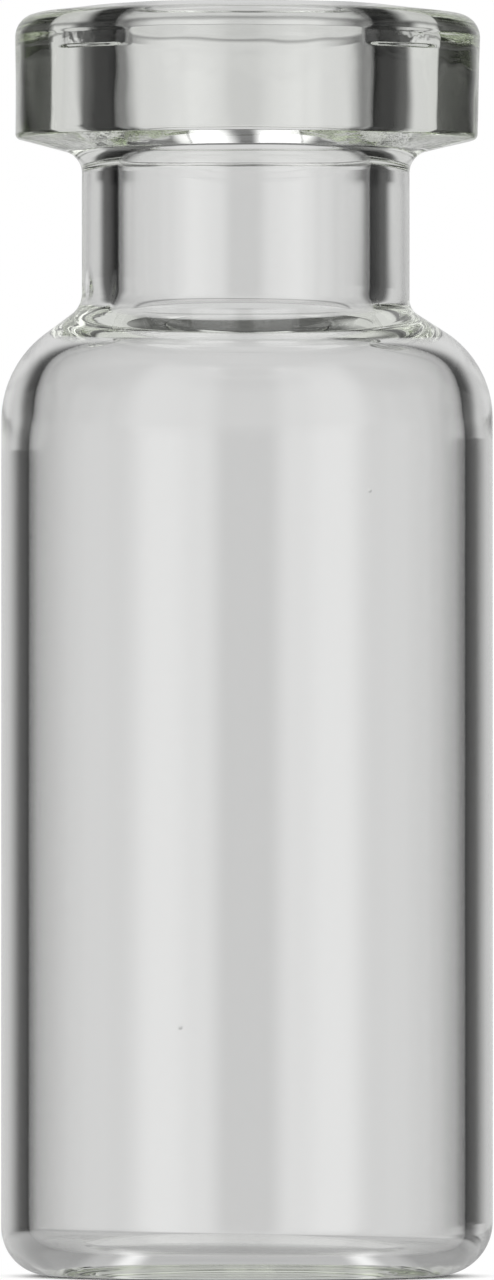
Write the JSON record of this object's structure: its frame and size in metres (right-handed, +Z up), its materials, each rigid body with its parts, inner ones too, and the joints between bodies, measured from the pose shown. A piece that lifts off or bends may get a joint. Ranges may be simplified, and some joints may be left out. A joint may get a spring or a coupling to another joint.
{
  "type": "glass sample vial",
  "caption": "Small clear glass sample vial: straight round body on a thick rounded base, short neck and open crimp flange.",
  "frame": {"origin": "centre of the plane that the vial stands on", "axes": "+Z up along the vial's axis, from the base to the mouth; the vial is round, so +X and +Y are any two directions across it"},
  "size_m": [0.0116, 0.0116, 0.0299],
  "materials": {
    "clear_glass": "fire-polished clear glass with a faint green cast in the thick parts"
  },
  "bodies": {
    "root": {"glass_vial": "clear_glass"}
  },
  "joints": []
}
